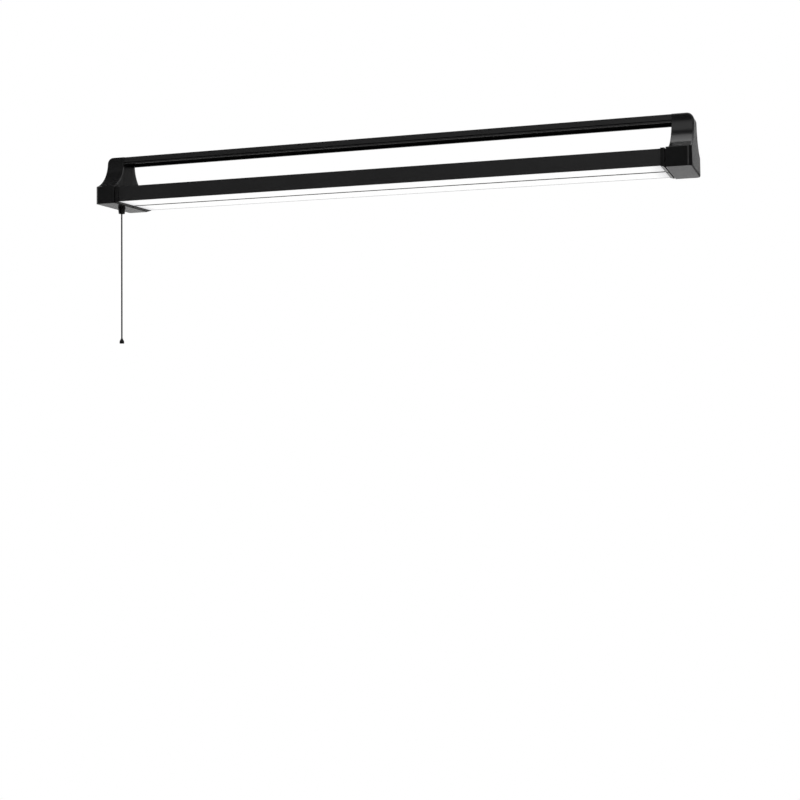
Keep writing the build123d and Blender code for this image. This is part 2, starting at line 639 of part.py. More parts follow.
def driver_tray():
    half = DRIVER_WIDTH / 2
    top = DRIVER_TOP_Z - DRIVER_SHEET
    floor = CHAMBER_FLOOR_Z + DRIVER_SHEET
    tray = block(DRIVER_X0, DRIVER_X1, -half, half, CHAMBER_FLOOR_Z, top)
    tray -= block(
        DRIVER_X0 + DRIVER_SHEET, DRIVER_X1 - DRIVER_SHEET,
        DRIVER_SHEET - half, half - DRIVER_SHEET, floor, top,
    )
    for x in driver_screw_x():
        tab = block(
            x - DRIVER_TAB / 2, x + DRIVER_TAB / 2, -DRIVER_TAB / 2, DRIVER_TAB / 2, CHAMBER_FLOOR_Z, floor
        )
        tray += tab - post(x, 0, CHAMBER_FLOOR_Z, floor, SCREW_RADIUS + SCREW_GAP)
    for x, y in driver_studs():
        tray += post(x, y, floor, DRIVER_BOARD_Z, DRIVER_STUD_RADIUS)
    return tray


def driver_lid():
    half = DRIVER_WIDTH / 2
    lip = DRIVER_SHEET + SLIP_GAP
    rim_z = DRIVER_TOP_Z - DRIVER_SHEET
    lid = block(DRIVER_X0, DRIVER_X1, -half, half, rim_z, DRIVER_TOP_Z)
    for side in (-1, 1):
        y0, y1 = sorted((side * (half - lip), side * (half - lip - DRIVER_SHEET)))
        lid += block(DRIVER_X0 + lip, DRIVER_X1 - lip, y0, y1, rim_z - DRIVER_SHEET, rim_z)
    return lid


def driver_screws():
    return [Pos(x, 0, CHAMBER_FLOOR_Z + DRIVER_SHEET) * screw(SHORT_SCREW) for x in driver_screw_x()]


def driver_board():
    gap = DRIVER_SHEET + SLIP_GAP
    half = DRIVER_WIDTH / 2 - gap
    return block(DRIVER_X0 + gap, DRIVER_X1 - gap, -half, half, DRIVER_BOARD_Z, DRIVER_PARTS_Z)


def driver_parts():
    middle = (DRIVER_X0 + DRIVER_X1) / 2
    parts = [
        block(
            middle - COIL_LENGTH / 2, middle + COIL_LENGTH / 2, -COIL_WIDTH / 2, COIL_WIDTH / 2,
            DRIVER_PARTS_Z, DRIVER_PARTS_Z + COIL_HEIGHT,
        )
    ]
    for i in range(CAPACITOR_COUNT):
        y = CAPACITOR_PITCH * (i - (CAPACITOR_COUNT - 1) / 2)
        x = middle + COIL_LENGTH
        parts.append(bar_x(x, x + CAPACITOR_LENGTH, y, DRIVER_PARTS_Z + CAPACITOR_RADIUS, CAPACITOR_RADIUS))
    for x in (DRIVER_X0 + DRIVER_SHEET + SLIP_GAP, DRIVER_X1 - DRIVER_SHEET - SLIP_GAP - CONNECTOR_LENGTH):
        parts.append(
            block(
                x, x + CONNECTOR_LENGTH, -CONNECTOR_WIDTH / 2, CONNECTOR_WIDTH / 2,
                DRIVER_PARTS_Z, DRIVER_PARTS_Z + CONNECTOR_HEIGHT,
            )
        )
    return parts


def cable_grommet():
    body = post(GROMMET_X, 0, -GROMMET_FLANGE_THICKNESS, 0, GROMMET_FLANGE_RADIUS)
    body += post(GROMMET_X, 0, -CAP_WALL, -GROMMET_FLANGE_THICKNESS, GROMMET_NECK_RADIUS)
    foot_z = -CAP_WALL - GROMMET_COLLAR_THICKNESS
    body += post(GROMMET_X, 0, foot_z, -CAP_WALL, GROMMET_COLLAR_RADIUS)
    body -= post(GROMMET_X, 0, foot_z, 0, GROMMET_BORE_RADIUS)
    middle = foot_z / 2
    return body + post(
        GROMMET_X, 0, middle - GROMMET_MEMBRANE / 2, middle + GROMMET_MEMBRANE / 2, GROMMET_BORE_RADIUS
    )


def terminal_screw_y():
    return TERMINAL_Y + TERMINAL_SCREW_INSET


def terminal_block():
    x1 = -SEAM_X
    half = TERMINAL_HEIGHT / 2
    y1 = TERMINAL_Y + TERMINAL_WIDTH
    body = block(x1 - TERMINAL_LENGTH, x1, TERMINAL_Y, y1, CONTACT_Z - half, CONTACT_Z + half)
    for x in POLE_X:
        body -= bar_y(x, TERMINAL_Y, TERMINAL_Y + TERMINAL_WIRE_DEPTH, CONTACT_Z, LEAD_RADIUS + SLIP_GAP)
        top = CONTACT_Z + half
        body -= post(x, terminal_screw_y(), CONTACT_Z, top, TERMINAL_SCREW_RADIUS + SCREW_GAP)
    return body


def terminal_screws():
    base = CONTACT_Z + LEAD_RADIUS
    y = terminal_screw_y()
    screws = []
    for x in POLE_X:
        body = post(x, y, base, base + TERMINAL_SCREW_DEPTH, TERMINAL_SCREW_RADIUS)
        top = base + TERMINAL_SCREW_DEPTH
        slot = block(
            x - TERMINAL_SCREW_RADIUS, x + TERMINAL_SCREW_RADIUS, y - TERMINAL_SLOT_WIDTH / 2,
            y + TERMINAL_SLOT_WIDTH / 2, top - SCREW_KEY_DEPTH, top,
        )
        screws.append(body - slot)
    return screws


def switch_case():
    half = SWITCH_WIDTH / 2
    x0 = SWITCH_X - SWITCH_BACK
    x1 = SWITCH_X + SWITCH_FRONT
    case = block(x0, x1, -half, half, CAP_FLOOR_Z, SWITCH_RIM_Z)
    case -= block(
        x0 + SWITCH_WALL, x1 - SWITCH_WALL,
        SWITCH_WALL - half, half - SWITCH_WALL, SWITCH_FLOOR_Z, SWITCH_RIM_Z,
    )
    neck_end = CAP_FLOOR_Z - NECK_LENGTH
    case += post(SWITCH_X, 0, neck_end, CAP_FLOOR_Z, NECK_RADIUS)
    case -= post(SWITCH_X, 0, neck_end, SWITCH_FLOOR_Z, NECK_BORE_RADIUS)
    case -= bar_y(SWITCH_X + WHEEL_X, -half, half, WHEEL_Z, WHEEL_PIN_RADIUS + SCREW_GAP)
    for strip in contact_strips(PIN_GAP):
        case -= strip
    return case


def switch_lid():
    half = SWITCH_WIDTH / 2
    x0 = SWITCH_X - SWITCH_BACK
    x1 = SWITCH_X + SWITCH_FRONT
    inset = SWITCH_WALL + SLIP_GAP
    lid = block(x0, x1, -half, half, SWITCH_RIM_Z, SWITCH_RIM_Z + SWITCH_WALL)
    lip = block(x0 + inset, x1 - inset, inset - half, half - inset, SWITCH_RIM_Z - LID_LIP, SWITCH_RIM_Z)
    inset += SWITCH_WALL
    lip -= block(x0 + inset, x1 - inset, inset - half, half - inset, SWITCH_RIM_Z - LID_LIP, SWITCH_RIM_Z)
    return lid + lip


def contact_strips(extra):
    x = SWITCH_X + WHEEL_X
    half = CONTACT_WIDTH / 2 + extra
    rise = CONTACT_THICKNESS / 2 + extra
    strips = []
    for side in (-1, 1):
        y0, y1 = sorted((side * (WHEEL_THICKNESS / 2 + CONTACT_GAP), side * CONTACT_END_Y))
        strips.append(block(x - half, x + half, y0, y1, CONTACT_Z - rise, CONTACT_Z + rise))
    return strips


def pull_bush():
    body = Pos(SWITCH_X, 0, (BOTTOM_Z + BUSH_MOUTH_Z) / 2) * Cone(
        BUSH_MOUTH_RADIUS, BUSH_TOP_RADIUS, BUSH_LENGTH
    )
    body = fillet(body.edges().sort_by(Axis.Z)[0], BUSH_EDGE_RADIUS)
    seat_z = CAP_FLOOR_Z - NECK_LENGTH - SLIP_GAP
    body -= post(SWITCH_X, 0, seat_z, BOTTOM_Z, NECK_RADIUS + PIN_GAP)
    body -= post(SWITCH_X, 0, BUSH_MOUTH_Z, seat_z, NECK_BORE_RADIUS)
    return fillet(
        body.edges().filter_by(GeomType.CIRCLE).filter_by(lambda e: e.center().Z < BUSH_MOUTH_Z + SLIP_GAP)
        .sort_by(SortBy.RADIUS)[0],
        BUSH_EDGE_RADIUS,
    )


def pull_slider():
    head_top = SLIDER_HEAD_Z + SLIDER_HEAD_HEIGHT
    half = SLIDER_HEAD_WIDTH / 2
    back_x = SWITCH_X - SLIDER_HEAD_BACK
    front_x = SWITCH_X + SLIDER_HEAD_FRONT
    body = block(back_x, front_x, -half, half, SLIDER_HEAD_Z, head_top)
    return body + post(SWITCH_X, 0, SLIDER_END_Z, SLIDER_HEAD_Z, SLIDER_ROD_RADIUS)


def return_spring():
    sleeve = post(SWITCH_X, 0, SWITCH_FLOOR_Z, SLIDER_HEAD_Z, SPRING_RADIUS)
    return sleeve - post(SWITCH_X, 0, SWITCH_FLOOR_Z, SLIDER_HEAD_Z, SPRING_RADIUS - SPRING_WIRE)


def index_wheel():
    points = []
    for i in range(WHEEL_TEETH):
        tip = 2 * pi * i / WHEEL_TEETH
        root = tip + pi / WHEEL_TEETH
        points.append((WHEEL_RADIUS * cos(tip), WHEEL_RADIUS * sin(tip)))
        points.append((WHEEL_ROOT_RADIUS * cos(root), WHEEL_ROOT_RADIUS * sin(root)))
    star = make_face(Polyline(*points, close=True)) - Circle(WHEEL_PIN_RADIUS + PIN_GAP)
    body = extrude(Plane.XZ * star, amount=WHEEL_THICKNESS / 2, both=True)
    return Pos(SWITCH_X + WHEEL_X, 0, WHEEL_Z) * body


def wheel_pin():
    half = SWITCH_WIDTH / 2
    return bar_y(SWITCH_X + WHEEL_X, -half, half, WHEEL_Z, WHEEL_PIN_RADIUS)


def cord_lead():
    return post(SWITCH_X, 0, CORD_PIVOT_Z + CORD_RADIUS + CORD_GAP, SLIDER_END_Z, CORD_RADIUS)


def pull_cord():
    tube = post(SWITCH_X, 0, KNOB_POCKET_Z, CORD_PIVOT_Z, CORD_RADIUS)
    return tube + Pos(SWITCH_X, 0, CORD_PIVOT_Z) * Sphere(CORD_RADIUS)


def pull_knob():
    bore = CORD_RADIUS + PIN_GAP
    shoulder_z = KNOB_TOP_Z - KNOB_SHOULDER_DROP
    rim_z = KNOB_BOTTOM_Z + KNOB_RIM
    flank = Spline(
        (KNOB_TOP_RADIUS, KNOB_TOP_Z), (KNOB_SHOULDER_RADIUS, shoulder_z), (KNOB_BASE_RADIUS, rim_z),
        tangents=[(0, -1), (0, -1)],
    )
    outline = [
        flank,
        Line(flank @ 1, (KNOB_BASE_RADIUS, KNOB_BOTTOM_Z)),
        Polyline((KNOB_BASE_RADIUS, KNOB_BOTTOM_Z), (KNOB_POCKET_RADIUS, KNOB_BOTTOM_Z),
                 (KNOB_POCKET_RADIUS, KNOB_POCKET_Z), (bore, KNOB_POCKET_Z), (bore, KNOB_TOP_Z),
                 (KNOB_TOP_RADIUS, KNOB_TOP_Z)),
    ]
    knob = revolve(Plane.XZ * make_face(outline), Axis.Z)
    rim = knob.edges().filter_by(GeomType.CIRCLE).sort_by(SortBy.RADIUS)[-1]
    return Pos(SWITCH_X, 0, 0) * fillet(rim, KNOB_EDGE_RADIUS)


def cord_knot():
    return Pos(SWITCH_X, 0, KNOB_POCKET_Z - KNOT_RADIUS) * Sphere(KNOT_RADIUS)


def lead(points, radius, bend):
    path = FilletPolyline(*points, radius=bend)
    start = Plane(path @ 0, z_dir=path % 0)
    return sweep(start * Circle(radius), path=path)


def live_lead():
    end = TERMINAL_Y + TERMINAL_WIRE_DEPTH
    return bar_y(POLE_X[0], CONTACT_END_Y, end, CONTACT_Z, LEAD_RADIUS)


def driver_lead(x, y0, side):
    turn_x = DRIVER_X0 - 2 * LEAD_STRAIGHT
    points = [
        (x, y0, CONTACT_Z), (x, side * LEAD_RUN_Y, CONTACT_Z), (turn_x, side * LEAD_RUN_Y, CONTACT_Z),
        (DRIVER_X0 - LEAD_STRAIGHT, side * DRIVER_LEAD_Y, CONTACT_Z),
        (DRIVER_X0, side * DRIVER_LEAD_Y, CONTACT_Z),
    ]
    return lead(points, LEAD_RADIUS, LEAD_BEND_RADIUS)


def switched_lead():
    return driver_lead(POLE_X[0], -CONTACT_END_Y, -1)


def neutral_lead():
    return driver_lead(POLE_X[1], TERMINAL_Y + TERMINAL_WIRE_DEPTH, 1)


def led_leads():
    leads = []
    for side in (-1, 1):
        points = [
            (DRIVER_X1, side * LED_LEAD_Y, CONTACT_Z),
            (LED_LEAD_X, side * LED_LEAD_Y, CONTACT_Z),
            (LED_LEAD_X, side * LED_LEAD_HOLE_Y, CONTACT_Z),
            (LED_LEAD_X, side * LED_LEAD_HOLE_Y, WEB_BOTTOM_Z),
        ]
        leads.append(lead(points, LED_LEAD_RADIUS, LED_LEAD_BEND_RADIUS))
    return leads


def as_list(made):
    return made if isinstance(made, list) else [made]


NODES = {
    "housing_profile": housing_profile(),
    "diffuser_front": diffuser(-1),
    "diffuser_rear": diffuser(1),
    "led_board_front": led_board(-1),
    "led_board_rear": led_board(1),
    "led_chips_front": led_chips(-1),
    "led_chips_rear": led_chips(1),
    "board_screws": board_screws(),
    "driver_tray": driver_tray(),
    "driver_lid": driver_lid(),
    "driver_board": driver_board(),
    "driver_parts": driver_parts(),
    "driver_screws": driver_screws(),
    "end_cap_left": end_cap_left(),
    "end_cap_right": cap_shell(),
    "pillar_cover_left": to_left(pillar_cover()),
    "pillar_cover_right": pillar_cover(),
    "cover_screws": cover_screws(),
    "end_frame_left": to_left(end_frame()),
    "end_frame_right": end_frame(),
    "frame_screws": frame_screws(),
    "cap_screws": cap_screws(),
    "rail": rail(),
    "rail_screws": rail_screws(),
    "hanger_inserts": hanger_inserts(),
    "cable_grommet": cable_grommet(),
    "terminal_block": terminal_block(),
    "terminal_screws": terminal_screws(),
    "switch_case": switch_case(),
    "switch_lid": switch_lid(),
    "contact_strips": contact_strips(0),
    "pull_bush": pull_bush(),
    "pull_slider": pull_slider(),
    "return_spring": return_spring(),
    "index_wheel": index_wheel(),
    "wheel_pin": wheel_pin(),
    "cord_lead": cord_lead(),
    "pull_cord": pull_cord(),
    "pull_knob": pull_knob(),
    "cord_knot": cord_knot(),
    "live_lead": live_lead(),
    "switched_lead": switched_lead(),
    "neutral_lead": neutral_lead(),
    "led_leads": led_leads(),
}

os.makedirs("parts", exist_ok=True)
for name, made in NODES.items():
    solids = [solid for part in as_list(made) for solid in part.solids()]
    shape = solids[0] if len(solids) == 1 else Compound(solids)
    export_step(shape, os.path.join("parts", name + ".step"))
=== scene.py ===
import json
import math

import bmesh
import bpy
from mathutils import Euler, Matrix, Vector


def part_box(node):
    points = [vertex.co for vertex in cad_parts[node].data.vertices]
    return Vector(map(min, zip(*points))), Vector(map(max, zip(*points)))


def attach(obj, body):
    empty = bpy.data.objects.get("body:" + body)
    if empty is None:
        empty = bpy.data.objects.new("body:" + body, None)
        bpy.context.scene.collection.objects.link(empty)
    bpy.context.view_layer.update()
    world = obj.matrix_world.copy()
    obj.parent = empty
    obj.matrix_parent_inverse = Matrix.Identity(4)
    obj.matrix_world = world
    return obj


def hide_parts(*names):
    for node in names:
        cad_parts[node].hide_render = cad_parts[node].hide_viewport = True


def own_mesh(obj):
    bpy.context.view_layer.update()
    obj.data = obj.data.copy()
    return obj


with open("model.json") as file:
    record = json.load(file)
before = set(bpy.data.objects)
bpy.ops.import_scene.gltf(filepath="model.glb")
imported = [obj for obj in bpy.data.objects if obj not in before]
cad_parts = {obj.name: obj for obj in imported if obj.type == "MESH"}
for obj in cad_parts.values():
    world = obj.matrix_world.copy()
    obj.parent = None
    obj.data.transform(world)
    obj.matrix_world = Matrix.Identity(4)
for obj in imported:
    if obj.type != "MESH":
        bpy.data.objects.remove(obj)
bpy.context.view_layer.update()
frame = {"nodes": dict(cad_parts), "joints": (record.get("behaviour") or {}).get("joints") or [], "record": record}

bl_info = {
    "name": "Linear ceiling light",
    "version": (1, 0, 0),
    "blender": (4, 5, 0),
    "location": "View3D > Sidebar > Ceiling light",
    "description": "Finishes, pull cord and stage for a linear ceiling light with a pull switch",
    "category": "Object",
}

NODES = frame["nodes"]
SLOT_OF_NODE = {part["node"]: part["material_slot"] for part in frame["record"]["subparts"]}
JOINTS = {joint["name"]: joint for joint in frame["joints"]}
SWING = JOINTS["cord_swing"]
PULL = JOINTS["pull_slide"]


def middle_of(node):
    """The middle of a node's box."""
    low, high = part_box(node)
    return (low + high) / 2


# Places read from the frame, in metres
CORD_LOW, CORD_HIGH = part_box("pull_cord")
KNOT_LOW, KNOT_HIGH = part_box("cord_knot")
SPRING_LOW, SPRING_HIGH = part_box("return_spring")
KNOB_TOP_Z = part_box("pull_knob")[1].z
BUSH_MOUTH_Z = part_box("pull_bush")[0].z
STUB_TOP_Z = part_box("cord_lead")[1].z
STRIP_END_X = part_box("diffuser_front")[1].x
SEAM_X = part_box("end_cap_right")[0].x
HOUSING_BOTTOM_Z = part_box("housing_profile")[0].z
RAIL_BOTTOM_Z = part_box("rail")[0].z
BOARD_MIDDLE_Y = middle_of("led_board_front").y
CHIPS_MIDDLE_Y = middle_of("led_chips_front").y
DRIVER_MIDDLE_X = middle_of("driver_board").x

# Bands and pitches of the finishes, in metres
UNDERSIDE_SKIN = 0.0005
RIB_HALF_WIDTH = 0.0045
RAIL_GROOVE = (0.0025, 0.0041)
SEAM_GROOVE = 0.0024
BOARD_TRACK = (0.0045, 0.0085)
CHIP_PITCH = 0.014
CHIP_WINDOW = 0.0011
WINDING_HALF_WIDTH = 0.0112
WINDING_PITCH = 0.0006
CONNECTOR_START = 0.115

# Strengths and counts of the finishes' patterns, the tone of the painted shade in the grooves and on the rib, and
# the share of that painted shade on the rib
GROOVE_SHADE = 0.2
RIB_SHADE_SHARE = 0.8
TRACK_SHOW = 0.6
LANES = 14.0
LANE_TRACK = 0.35
SPANGLES_PER_METRE = 420.0

# Colours of the small pieces, in pairs where a pattern turns one into the other
MASK_WHITE = (0.86, 0.86, 0.83)
TRACK_PALE = (0.78, 0.76, 0.69)
CHIP_WHITE = (0.86, 0.86, 0.84)
PHOSPHOR = (0.88, 0.66, 0.12)
ZINC = ((0.55, 0.56, 0.57), (0.70, 0.70, 0.68))
OXIDE = ((0.012, 0.012, 0.013), (0.028, 0.027, 0.026))
GREEN_MASK = ((0.010, 0.085, 0.035), (0.030, 0.190, 0.080))
SLEEVE = ((0.012, 0.013, 0.018), (0.030, 0.032, 0.042))
CONNECTOR = (0.80, 0.78, 0.72)
COPPER = (0.55, 0.20, 0.06)
NYLON = ((0.70, 0.69, 0.63), (0.80, 0.79, 0.73))
BRASS = ((0.62, 0.43, 0.15), (0.78, 0.58, 0.26))
RUBBER = ((0.010, 0.010, 0.010), (0.018, 0.018, 0.017))
BROWN = ((0.085, 0.030, 0.012), (0.120, 0.045, 0.018))
BLUE = ((0.012, 0.050, 0.240), (0.020, 0.075, 0.320))
PALE = ((0.72, 0.72, 0.69), (0.80, 0.80, 0.78))

# Glow of a light strip, by the share of its fade from the end
STRIP_GLOW = ((0.0, (0.56, 0.56, 0.57)), (0.35, (0.68, 0.68, 0.69)), (1.0, (0.86, 0.86, 0.86)))

# Divisions and proportions of the pieces made anew, and the distance in metres at which points merge
CORD_ROUNDNESS = 5
CORD_STEPS = 24
DOME_ROWS = 6
STUB_ROWS = 12
STUB_HOLLOW = 0.9
KNOT_POINTS = 36
KNOT_ROUNDNESS = 4
KNOT_LIFT = 1.1
COIL_STEPS = 32
WIRE_SIDES = 10
MERGE_DISTANCE = 1e-7

# Reach of the view, size and fade of the floor, in metres
VIEW_REACH = 200.0
FLOOR_SIZE = (120.0, 120.0)
FLOOR_FADE = 14.0

# Plain white, and the tones of the floor by the share of its fade
WHITE = (1.0, 1.0, 1.0, 1.0)
FLOOR_TONES = ((0.25, 0.30), (0.62, 0.26), (0.70, 0.98))

# Dark cards as name, place, turn, size and tone
CARDS = (
    ("front_card", (0.0, -4.0, 0.0), (math.pi / 2, 0.0, 0.0), (9.0, 3.2), 0.03),
    ("left_card", (-2.7, -2.3, 1.0), (math.pi / 2, 0.0, -0.8), (2.6, 4.6), 0.25),
    ("right_card", (3.2, -0.35, 0.3), (math.pi / 2, 0.0, math.pi / 2), (4.7, 3.8), 0.03),
    ("end_card", (2.3, 3.0, 0.3), (math.pi / 2, 0.0, 0.0), (3.0, 3.8), 0.38),
    ("high_front_card", (0.0, -1.32, 2.5), (0.0, 0.0, 0.0), (7.0, 1.05), 0.03),
    ("high_left_card", (-3.45, 1.9, 2.5), (0.0, 0.0, 0.0), (5.1, 5.4), 0.03),
)

# Width of the clouds on a card in metres, and how many times paler they get
CARD_CLOUD = 0.4
CARD_PALER = 1.2

# Softboxes as name, place, size and power in watts
SOFTBOXES = (
    ("top_softbox", (0.3, 0.15, 2.5), 1.7, 10.5),
    ("right_softbox", (2.0, -3.0, 0.5), 1.1, 8.0),
)


class CordSettings(bpy.types.PropertyGroup):
    """Sizes of the pull cord and the return spring."""

    diameter: bpy.props.FloatProperty(
        name="Cord diameter", description="Thickness of the pull cord",
        default=CORD_HIGH.x - CORD_LOW.x, unit="LENGTH", precision=4,
    )
    straight: bpy.props.FloatProperty(
        name="Straight ends", description="Straight stretch at the bush and at the knob",
        default=0.012, unit="LENGTH", precision=4,
    )
    plaits: bpy.props.IntProperty(
        name="Plaits", description="Strands of the braid that run each way round", default=6, min=2,
    )
    plait_pitch: bpy.props.FloatProperty(
        name="Plait pitch", description="Length of cord in which a strand goes once round",
        default=0.006, unit="LENGTH", precision=4,
    )
    spring_turns: bpy.props.FloatProperty(
        name="Spring turns", description="Turns of the return spring", default=4.0, min=1.0,
    )
    spring_wire: bpy.props.FloatProperty(
        name="Spring wire", description="Thickness of the spring's wire",
        default=0.001, unit="LENGTH", precision=4,
    )


class FinishSettings(bpy.types.PropertyGroup):
    """Colours and grains of the finishes."""

    coat: bpy.props.FloatVectorProperty(
        name="Powder coat", description="Colour of the housing and the rail",
        default=(0.0500, 0.0500, 0.0510), subtype="COLOR", size=3, min=0, max=1,
    )
    moulding: bpy.props.FloatVectorProperty(
        name="Moulded plastic", description="Colour of the caps, pillars and frames",
        default=(0.0270, 0.0270, 0.0276), subtype="COLOR", size=3, min=0, max=1,
    )
    trim: bpy.props.FloatVectorProperty(
        name="Trim plastic", description="Colour of the bush and the knob",
        default=(0.0100, 0.0100, 0.0102), subtype="COLOR", size=3, min=0, max=1,
    )
    opal: bpy.props.FloatVectorProperty(
        name="Opal", description="Colour of the light strips",
        default=(0.86, 0.86, 0.85), subtype="COLOR", size=3, min=0, max=1,
    )
    braid: bpy.props.FloatVectorProperty(
        name="Braid", description="Colour of the pull cord",
        default=(0.009, 0.009, 0.0095), subtype="COLOR", size=3, min=0, max=1,
    )
    coat_grain: bpy.props.FloatProperty(
        name="Coat grain", description="Width of the powder coat's ripples",
        default=0.0014, unit="LENGTH", precision=5,
    )
    mould_grain: bpy.props.FloatProperty(
        name="Mould grain", description="Width of the moulded surface's grain",
        default=0.0005, unit="LENGTH", precision=5,
    )
    strip_fade: bpy.props.FloatProperty(
        name="Strip fade", description="Length over which a light strip dims at its ends",
        default=0.030, unit="LENGTH", precision=4,
    )


class StageSettings(bpy.types.PropertyGroup):
    """Camera, floor and lamps."""

    viewpoint: bpy.props.FloatVectorProperty(
        name="Viewpoint", description="Place of the camera",
        default=(0.8766, -2.3359, -0.5254), subtype="TRANSLATION", size=3, unit="LENGTH",
    )
    heading: bpy.props.FloatProperty(
        name="Heading", description="Turn of the camera to the left", default=0.34454, subtype="ANGLE",
    )
    tilt: bpy.props.FloatProperty(
        name="Tilt", description="Tilt of the camera above the horizon", default=0.0081, subtype="ANGLE",
    )
    roll: bpy.props.FloatProperty(
        name="Roll", description="Roll of the camera to the right", default=0.00271, subtype="ANGLE",
    )
    lens: bpy.props.FloatProperty(
        name="Lens", description="Focal length in millimetres on a 36 mm sensor", default=58.106,
    )
    floor_drop: bpy.props.FloatProperty(
        name="Floor drop", description="Height of the light above the floor",
        default=1.6, unit="LENGTH",
    )
    floor_gloss: bpy.props.FloatProperty(
        name="Floor in gloss", description="Share of plain white in the floor as glossy pieces show it",
        default=0.15, min=0, max=1,
    )
    world_light: bpy.props.FloatProperty(
        name="World light", description="Strength of the light from all round", default=0.7, min=0,
    )


class Value:
    """A number in a material: arithmetic on it adds Math nodes."""

    def __init__(self, finish, socket):
        self.finish = finish
        self.socket = socket

    def math(self, operation, first, second=0.0):
        made = self.finish.node("ShaderNodeMath", {"operation": operation}, {0: first, 1: second})
        return self.finish.value(made, "Value")

    def __add__(self, other):
        return self.math("ADD", self, other)

    def __radd__(self, other):
        return self.math("ADD", other, self)

    def __sub__(self, other):
        return self.math("SUBTRACT", self, other)

    def __rsub__(self, other):
        return self.math("SUBTRACT", other, self)

    def __mul__(self, other):
        return self.math("MULTIPLY", self, other)

    def __rmul__(self, other):
        return self.math("MULTIPLY", other, self)

    def __truediv__(self, other):
        return self.math("DIVIDE", self, other)

    def __rtruediv__(self, other):
        return self.math("DIVIDE", other, self)

    def __abs__(self):
        return self.math("ABSOLUTE", self)

    def __mod__(self, other):
        return self.math("FLOORED_MODULO", self, other)

    def __gt__(self, other):
        return self.math("GREATER_THAN", self, other)

    def __lt__(self, other):
        return self.math("LESS_THAN", self, other)

    def between(self, low, high):
        """1 between two limits and 0 outside them."""
        return (self > low) * (self < high)

    def sine(self):
        return self.math("SINE", self)

    def root(self):
        return self.math("SQRT", self)

    def angle_of(self, other):
        return self.math("ARCTAN2", self, other)


class Nodes:
    """A node tree in the making."""

    def __init__(self, owner):
        owner.use_nodes = True
        self.tree = owner.node_tree
        self.tree.nodes.clear()

    def node(self, kind, settings, inputs):
        made = self.tree.nodes.new(kind)
        for name, setting in settings.items():
            if name == "stops":
                set_stops(made.color_ramp, setting)
            else:
                setattr(made, name, setting)
        for name, given in inputs.items():
            self.join(made.inputs[name], given)
        return made

    def join(self, socket, given):
        if isinstance(given, Value):
            given = given.socket
        if isinstance(given, bpy.types.NodeSocket):
            self.tree.links.new(given, socket)
        else:
            socket.default_value = given

    def value(self, made, output):
        return Value(self, made.outputs[output])

    def seen(self, gloss=1.0):
        """The share of white in the background for the rays that show it."""
        path = self.node("ShaderNodeLightPath", {}, {})
        camera, glossy, through = (
            self.value(path, f"Is {kind} Ray") for kind in ("Camera", "Glossy", "Transmission")
        )
        return camera + through + glossy * gloss


class Finish(Nodes):
    """One material in the making, with a Principled shader at its end."""

    def __init__(self, name):
        self.material = bpy.data.materials.new(name)
        super().__init__(self.material)
        self.shader = self.node("ShaderNodeBsdfPrincipled", {}, {})
        self.output = self.node("ShaderNodeOutputMaterial", {}, {"Surface": self.shader.outputs["BSDF"]})
        place = self.node("ShaderNodeTexCoord", {}, {})
        self.place = place.outputs["Object"]
        split = self.node("ShaderNodeSeparateXYZ", {}, {"Vector": self.place})
        self.x, self.y, self.z = (self.value(split, axis) for axis in "XYZ")

    def noise(self, width, detail=2.0, stretch=None):
        """Noise whose lumps are about as wide as given, in metres, as a number near 0.5."""
        place = self.place
        if stretch:
            mapped = self.node("ShaderNodeMapping", {}, {"Vector": place, "Scale": stretch})
            place = mapped.outputs["Vector"]
        made = self.node(
            "ShaderNodeTexNoise", {}, {"Vector": place, "Scale": 1.0 / width, "Detail": detail}
        )
        return self.value(made, "Fac")

    def mix(self, amount, first, second):
        """One colour turning into another."""
        made = self.node(
            "ShaderNodeMix", {"data_type": "RGBA", "clamp_factor": True},
            {"Factor": amount, 6: rgba(first), 7: rgba(second)},
        )
        return made.outputs[2]

    def vary(self, amount, colour, spread):
        """A colour turning from a little darker to a little lighter."""
        return self.mix(amount, shade(colour, 1 - spread), shade(colour, 1 + spread))

    def ramp(self, amount, *stops):
        made = self.node("ShaderNodeValToRGB", {"stops": stops}, {"Fac": amount})
        return made.outputs["Color"]

    def soften(self, radius):
        """Normals rounded over at the edges."""
        made = self.node("ShaderNodeBevel", {"samples": 6}, {"Radius": radius})
        return made.outputs["Normal"]

    def bump(self, height, depth, normal=None):
        """Normals of a raised pattern, on top of other normals where they are given."""
        inputs = {"Height": height, "Distance": depth, "Strength": 1.0}
        if normal is not None:
            inputs["Normal"] = normal
        return self.node("ShaderNodeBump", {}, inputs).outputs["Normal"]

    def cover(self, share, other):
        """Lays another shader over the main one, by a share from 0 to 1."""
        made = self.node("ShaderNodeMixShader", {}, {0: share, 1: self.shader.outputs["BSDF"], 2: other})
        self.join(self.output.inputs["Surface"], made.outputs["Shader"])

    def paint_shade(self, share, colour):
        """Paints shade over a share of the surface, such as a groove, as a dark matt colour."""
        matt = self.node("ShaderNodeBsdfDiffuse", {}, {"Color": rgba(colour)})
        self.cover(share, matt.outputs["BSDF"])

    def end(self, **inputs):
        """Sets the shader's sockets, named with underscores, and gives the material."""
        for name, given in inputs.items():
            self.join(self.shader.inputs[name.replace("_", " ")], given)
        return self.material


def set_stops(ramp, stops):
    """Gives a colour ramp its stops."""
    while len(ramp.elements) > 1:
        ramp.elements.remove(ramp.elements[-1])
    for i, (position, colour) in enumerate(stops):
        element = ramp.elements[0] if i == 0 else ramp.elements.new(position)
        element.position = position
        element.color = rgba(colour)


def rgba(colour):
    """A colour with its fourth number; a socket stays as it is."""
    if isinstance(colour, bpy.types.NodeSocket):
        return colour
    return (*colour, 1.0)


def grey(tone):
    return (tone, tone, tone)


def shade(colour, share):
    """A colour made lighter or darker."""
    return tuple(min(1.0, part * share) for part in colour)


